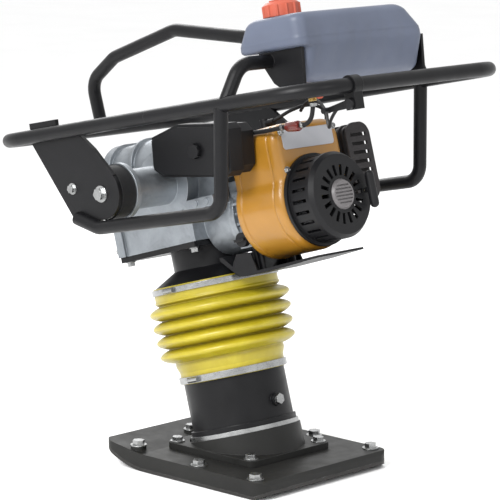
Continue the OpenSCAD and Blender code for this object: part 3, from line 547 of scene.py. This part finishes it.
def tank_levels():
    """Levels from the bottom to the top: bottom round, sump, shelf, faint weld seam, body, top round."""
    r_bottom, r_top, r_shelf = 14.0, 13.0, 6.0
    levels = []
    for k in range(9):
        a = math.pi / 2 * k / 8
        levels.append(tank_level(SUMP_Z + r_bottom * (1 - math.cos(a)), r_bottom * (1 - math.sin(a))))
    low, high = SUMP_Z + r_bottom, SHELF_Z - 3.0
    levels += [tank_level(low + (high - low) * k / 10) for k in range(1, 11)]
    for k in range(6):
        a = math.pi / 2 * k / 5
        height = SHELF_Z + r_shelf * (1 - math.cos(a))
        levels.append(tank_level(height, r_shelf * (1 - math.sin(a)), 0.0, True))
    seam = SHELF_Z + 14.0
    levels += [tank_level(seam + dz, 0.0, out)
               for dz, out in ((-3.0, 0.0), (-1.0, 0.0), (-0.6, 0.4), (0.6, 0.4), (1.0, 0.0), (3.0, 0.0))]
    low, high = seam + 3.0, TANK_TOP - r_top - 0.6
    levels += [tank_level(low + (high - low) * k / 10) for k in range(1, 11)]
    for k in range(1, 10):
        a = math.pi / 2 * k / 9
        levels.append(tank_level(high + r_top * math.sin(a), r_top * (1 - math.cos(a))))
    _, front, back, far, near, _ = levels[-1]
    levels.append((TANK_TOP - 0.2, front - 26.0, back + 26.0, far + 50.0, near - 50.0, 9.0))
    levels.append((TANK_TOP, front - 40.0, back + 40.0, far + 80.0, near - 80.0, 6.0))
    return levels


def make_tank():
    rings = []
    for z, front, back, far, near, radius in tank_levels():
        ring = []
        for x, y, zz in rounded_ring(back, front, far, near, radius, z, 10, 40):
            body = ease((zz - SUMP_Z - 22.0) / 10.0) * ease((TANK_TOP - 24.0 - zz) / 10.0)
            if body and x < back + 4.0:
                groove = max(math.exp(-((y - f) / FLUTE_WIDTH) ** 2) for f in FLUTES)
                x += FLUTE_DEPTH * groove * body
            elif body and (y > near - 4.0 or y < far + 4.0):
                bulge = math.sin(math.pi * ease((x - back) / (front - back)))
                y -= math.copysign(SIDE_HOLLOW * bulge * body, y)
            ring.append(handle_pt(x, y, zz))
        rings.append(ring)
    body = loft_data(rings)
    fx, fy = FILLER

    def at_filler(x, y, z):
        return handle_pt(fx + x, fy + y, z)

    neck_outline = [
        (20.3, TANK_TOP - 12.0), (27.0, TANK_TOP - 12.0), (27.0, TANK_TOP - 3.0), (24.8, TANK_TOP - 0.8),
        (24.3, TANK_TOP + 5.6), (20.3, TANK_TOP + 5.6),
    ]
    neck = turned_data(neck_outline, at_filler, 64, True)
    verts, faces = join_data([body, neck])
    tank = add_mesh("tank", verts, faces, MATS["tank_plastic"], True, 50)
    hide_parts("fuel_tank")
    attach(tank, "handle")


make_tank()


# ---------- fan shroud ----------

SHAFT_S = 441.0
SHROUD_R = 86.0
SHROUD_X = 290.0
SHROUD_FRONT = -176.0
SHROUD_LEFT = 75.0
SHROUD_RIGHT = -90.0
SHROUD_TOP = 582.0
SHROUD_HUB = (-7.5, 480.0)
STARTER_HOLE_R = 66.0


def shroud_outline(points=180):
    """Drum and upper box as one smooth closed line, by how far each ray from the middle reaches."""
    cy, cs = SHROUD_HUB
    corner = 30.0
    box_y, box_half = (SHROUD_LEFT + SHROUD_RIGHT) / 2, (SHROUD_LEFT - SHROUD_RIGHT) / 2
    reach = []
    for k in range(points):
        a = 2 * math.pi * k / points
        dy, ds = math.cos(a), math.sin(a)
        b = (cs - SHAFT_S) * ds + cy * dy
        c = cy * cy + (cs - SHAFT_S) ** 2 - SHROUD_R ** 2
        drum = -b + math.sqrt(max(0.0, b * b - c))
        low, high = 0.0, 300.0
        for _ in range(40):
            mid = (low + high) / 2
            y, s = cy + dy * mid, cs + ds * mid
            qy = max(abs(y - box_y) - box_half + corner, 0.0)
            qs = max(s - SHROUD_TOP + corner, 0.0)
            inside = math.hypot(qy, qs) <= corner and s >= SHAFT_S - 1.0
            low, high = (mid, high) if inside else (low, mid)
        reach.append(max(drum, low))
    for _ in range(3):
        reach = [(reach[i - 1] + 2 * reach[i] + reach[(i + 1) % points]) / 4 for i in range(points)]
    return [(cy + math.cos(2 * math.pi * k / points) * r, cs + math.sin(2 * math.pi * k / points) * r)
            for k, r in enumerate(reach)]


def shrink(outline, inset):
    """The outline moved inwards along its own normals."""
    n = len(outline)
    out = []
    for i, (y, s) in enumerate(outline):
        ty = outline[(i + 1) % n][0] - outline[i - 1][0]
        ts = outline[(i + 1) % n][1] - outline[i - 1][1]
        length = math.hypot(ty, ts)
        out.append((y - ts / length * inset, s + ty / length * inset))
    return out


def make_shroud():
    base = shroud_outline()
    rear = -SHROUD_X
    rim = ((0.0, 0.0), (4.0, 0.0), (5.0, -1.6), (13.0, -1.6), (14.0, 0.0))
    skin = [(SHROUD_FRONT - back, inset) for back, inset in rim]
    skin += [(SHROUD_FRONT - 14.0 - 4.0 * k, 0.0) for k in range(1, 13)]
    groove = ((26.0, 0.0), (24.0, 0.3), (22.4, 1.6), (20.8, 0.3), (18.8, 0.0))
    skin += [(rear + ahead, inset) for ahead, inset in groove]
    fillet = 15.0
    for k in range(1, 10):
        a = math.pi / 2 * k / 9
        skin.append((rear + fillet * (1 - math.sin(a)), fillet * (1 - math.cos(a))))
    rings = [[ram_pt(x, y, s) for y, s in shrink(base, inset)] for x, inset in skin]

    face = shrink(base, fillet)
    hole = []
    for y, s in face:
        a = math.atan2(s - SHAFT_S, y)
        hole.append((STARTER_HOLE_R * math.cos(a), SHAFT_S + STARTER_HOLE_R * math.sin(a)))

    def between(t, x):
        return [ram_pt(x, fy + (hy - fy) * t, fs + (hs - fs) * t) for (fy, fs), (hy, hs) in zip(face, hole)]

    rings += [between(t, rear) for t in (0.25, 0.5, 0.75, 0.94)]
    rings += [between(1.0, rear + 1.0), between(1.0, rear + 3.0)]
    inner = shrink(base, fillet + 2.0)
    rings.append([ram_pt(rear + 3.0, y, s) for y, s in inner])
    rings.append([ram_pt(rear + fillet + 2.0, y, s) for y, s in shrink(base, 3.2)])
    rings.append([ram_pt(SHROUD_FRONT, y, s) for y, s in shrink(base, 3.0)])
    shroud = loft("fan_shroud", rings, MATS["shroud_orange"], caps=False, loop=True, sharp_deg=55)
    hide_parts("shroud")
    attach(shroud, "powerhead")


make_shroud()


def make_shroud_screws():
    """Flanged screws on the rear face of the shroud."""
    parts = []
    spots = [(58.0, 566.0), (-74.0, 566.0), (60.0, 500.0)]
    outline = [
        (0.4, -1.0), (6.4, -1.0), (6.4, 0.6), (5.8, 1.2), (4.6, 1.4), (4.4, 4.2), (3.6, 5.0),
        (2.2, 5.0), (2.0, 3.4), (0.4, 3.4),
    ]
    for y, s in spots:
        def place(a, b, h, y=y, s=s):
            return ram_pt(-SHROUD_X - h, y + a, s + b)
        parts.append(turned_data(outline, place, 24))
    verts, faces = join_data(parts)
    screws = add_mesh("shroud_screws", verts, faces, MATS["zinc"], True, 35)
    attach(screws, "powerhead")


make_shroud_screws()


# ---------- hose, cable and rope ----------

HOSE_R = 3.9
CABLE_R = 2.8
LEAD_R = 3.1
FILTER_STEPS = (57, 69)
HOSE_PATH = [
    (-233, 96, 689), (-233, 96, 676), (-229, 95.5, 661.5), (-218, 94, 651), (-203, 92.5, 646),
    (-165, 89, 640), (-122, 83, 630), (-80, 74, 621.5), (-50, 71.5, 617), (-27, 70.5, 612.5),
    (-14, 70.5, 606.5), (-5.5, 71, 597), (-2, 72, 582),
]
CABLE_PATH = [
    (-355, 152, 698.6), (-334, 146, 690), (-302, 126, 668), (-262, 86, 648),
    (-215, 38, 646), (-170, -5, 660), (-125, -32, 672), (-92, -42, 665), (-75, -44, 648),
]

LEAD_PATH = [
    (-206, -14, 594), (-222, -16, 598), (-240, -34, 607), (-252, -64, 611),
    (-257, -91, 603), (-256, -101, 587), (-252, -95, 571), (-250, -74, 566),
]
ROPE_X = (-345.0, -357.0)
ROPE_Y = -60.0


def clamp_data(path, centre, radius, width=0.0055):
    """A band with a small pinch ear round a hose, at path index centre."""
    p = path[centre]
    d = (path[centre + 1] - path[centre - 1]).normalized()
    side = d.orthogonal().normalized()
    up = d.cross(side)

    def place(a, b, h):
        return p + (side * a + up * b) * MM + d * h

    half = width / 2
    outer = radius + 0.9
    band = turned_data([(radius, -half), (outer, -half), (outer, half), (radius, half)], place, 28, True)
    ear = [[place(radius + 0.4 + u, v, h) for u, v in ((0, -2.2), (2.8, -1.1), (2.8, 1.1), (0, 2.2))]
           for h in (-half * 0.8, half * 0.8)]
    return join_data([band, loft_data(ear)])


def make_hose():
    path = [p * MM for p in catmull(HOSE_PATH, 14)]
    hose = add_mesh("fuel_hose_skin", *sweep_data(path, HOSE_R * MM, 20), MATS["rubber"])
    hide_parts("fuel_hose")
    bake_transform(hose)
    low, high = FILTER_STEPS
    a, b = path[low], path[high]
    body = [a.lerp(b, t) for t in (0.0, 0.02, 0.1, 0.14, 0.5, 0.86, 0.9, 0.98, 1.0)]
    radii = [0.0052, 0.0075, 0.0086, 0.0092, 0.0094, 0.0092, 0.0086, 0.0075, 0.0052]

    share = iter(radii)
    bulb = add_mesh("fuel_filter", *sweep_data(body, lambda t: next(share), 28), MATS["filter_red"], True, 40)
    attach(bulb, "handle")
    clips = join_data([clamp_data(path, i, HOSE_R) for i in (6, low - 4, high + 4)])
    bands = add_mesh("hose_clips", *clips, MATS["zinc"], True, 35)
    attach(bands, "handle")
    end_clip = add_mesh("hose_end_clip", *clamp_data(path, len(path) - 6, HOSE_R), MATS["zinc"], True, 35)
    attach(end_clip, "powerhead")


def make_cable():
    path = [p * MM for p in catmull(CABLE_PATH, 14)]
    outer = add_mesh("throttle_cable_skin", *sweep_data(path, CABLE_R * MM, 16), MATS["rubber"])
    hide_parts("throttle_cable")
    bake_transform(outer)


def make_plug_lead():
    path = [ram_pt(*p) for p in catmull(LEAD_PATH, 12)]
    lead = add_mesh("plug_lead", *sweep_data(path, LEAD_R * MM, 18), MATS["rubber"])
    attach(lead, "powerhead")


def make_rope():
    """A twisted rope strand between the housing and the grip."""
    x0, x1 = ROPE_X
    rings = []
    count = 60
    for i in range(count + 1):
        x = x0 + (x1 - x0) * i / count
        twist = 14.0 * i / count
        ring = []
        for k in range(12):
            a = 2 * math.pi * k / 12 + twist
            r = 2.1 + 0.12 * math.cos(2 * (a - twist))
            ring.append(ram_pt(x, ROPE_Y + r * math.cos(a), SHAFT_S + r * math.sin(a)))
        rings.append(ring)
    rope = loft("pull_rope", rings, MATS["rope"])
    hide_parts("starter_rope")
    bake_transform(rope)


SPRING_R = 36.0
SPRING_WIRE = 5.0
LEG_FLOOR = 72.0
CYLINDER_CAP = 280.0
PISTON = (160.0, 172.0)


def make_spring(name, bottom, top, turns):
    """Coil spring between two heights of the ram line."""
    steps = 40 * turns
    low, high = bottom + 0.4 + SPRING_WIRE, top - 0.4 - SPRING_WIRE
    path = []
    for i in range(steps + 1):
        a = 2.0 * math.pi * turns * i / steps
        path.append(ram_pt(SPRING_R * math.cos(a), SPRING_R * math.sin(a), low + (high - low) * i / steps))
    spring = add_mesh(name + "_coil", *sweep_data(path, SPRING_WIRE * MM, 16), MATS["spring_steel"])
    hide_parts(name)
    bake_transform(spring)


make_hose()
make_cable()
make_plug_lead()
make_rope()
make_spring("lower_spring", LEG_FLOOR, PISTON[0], 4)
make_spring("upper_spring", PISTON[1], CYLINDER_CAP, 5)


# ---------- setting ----------

def floor_material():
    s = Surface("floor_pale", srgb(250, 250, 250), 0.0, 0.55, 0.3)
    s.color(s.ramp(s.noise(3.0, 3.0), [(0.3, srgb(249, 249, 249)), (0.7, srgb(252, 252, 252))]))
    return s.done()


def add_floor():
    bpy.ops.mesh.primitive_plane_add(size=60.0, location=(0, 0, 0))
    floor = bpy.context.object
    floor.name = "floor"
    floor.data.materials.append(floor_material())


LIGHTS = (  # name, place, aim, size in metres, power in watts
    ("key", (-0.5, 3.0, 2.6), (0.0, 0.0, 0.4), 1.6, 150.0),
    ("glint", (-3.2, 0.6, 2.2), (0.0, 0.0, 0.45), 0.9, 12.0),
    ("rim", (2.6, -1.6, 2.4), (0.0, 0.0, 0.5), 1.6, 45.0),
)
WORLD_STRENGTH = 1.02


def add_light(name, location, target, size, power):
    data = bpy.data.lights.new(name, "AREA")
    data.energy = power
    data.size = size
    obj = bpy.data.objects.new(name, data)
    bpy.context.scene.collection.objects.link(obj)
    obj.location = location
    obj.rotation_euler = (Vector(target) - Vector(location)).to_track_quat("-Z", "Y").to_euler()
    return obj


def add_world():
    world = bpy.data.worlds.new("studio")
    bpy.context.scene.world = world
    world.use_nodes = True
    background = world.node_tree.nodes["Background"]
    background.inputs["Color"].default_value = (1.0, 1.0, 1.0, 1.0)
    background.inputs["Strength"].default_value = WORLD_STRENGTH


CAMERA_BEARING = 44.0
CAMERA_PITCH = 10.0
CAMERA_TARGET = (0.0, 0.006, 0.397)
CAMERA_DISTANCE = 4.613
CAMERA_LENS = 186.5


def add_camera():
    """Stands behind and to the left of the machine, a little above it."""
    theta = math.radians(CAMERA_BEARING)
    pitch = math.radians(CAMERA_PITCH)
    away = Vector((math.sin(theta), -math.cos(theta), 0.0))
    forward = away * math.cos(pitch) - Vector((0, 0, 1)) * math.sin(pitch)
    target = Vector(CAMERA_TARGET)
    data = bpy.data.cameras.new("camera")
    data.sensor_width = 36.0
    data.lens = CAMERA_LENS
    data.clip_end = 100.0
    cam = bpy.data.objects.new("camera", data)
    bpy.context.scene.collection.objects.link(cam)
    cam.location = target - forward * CAMERA_DISTANCE
    cam.rotation_euler = forward.to_track_quat("-Z", "Y").to_euler()
    bpy.context.scene.camera = cam


add_floor()
add_world()
for light in LIGHTS:
    add_light(*light)
add_camera()
bpy.context.scene.view_settings.view_transform = "Standard"
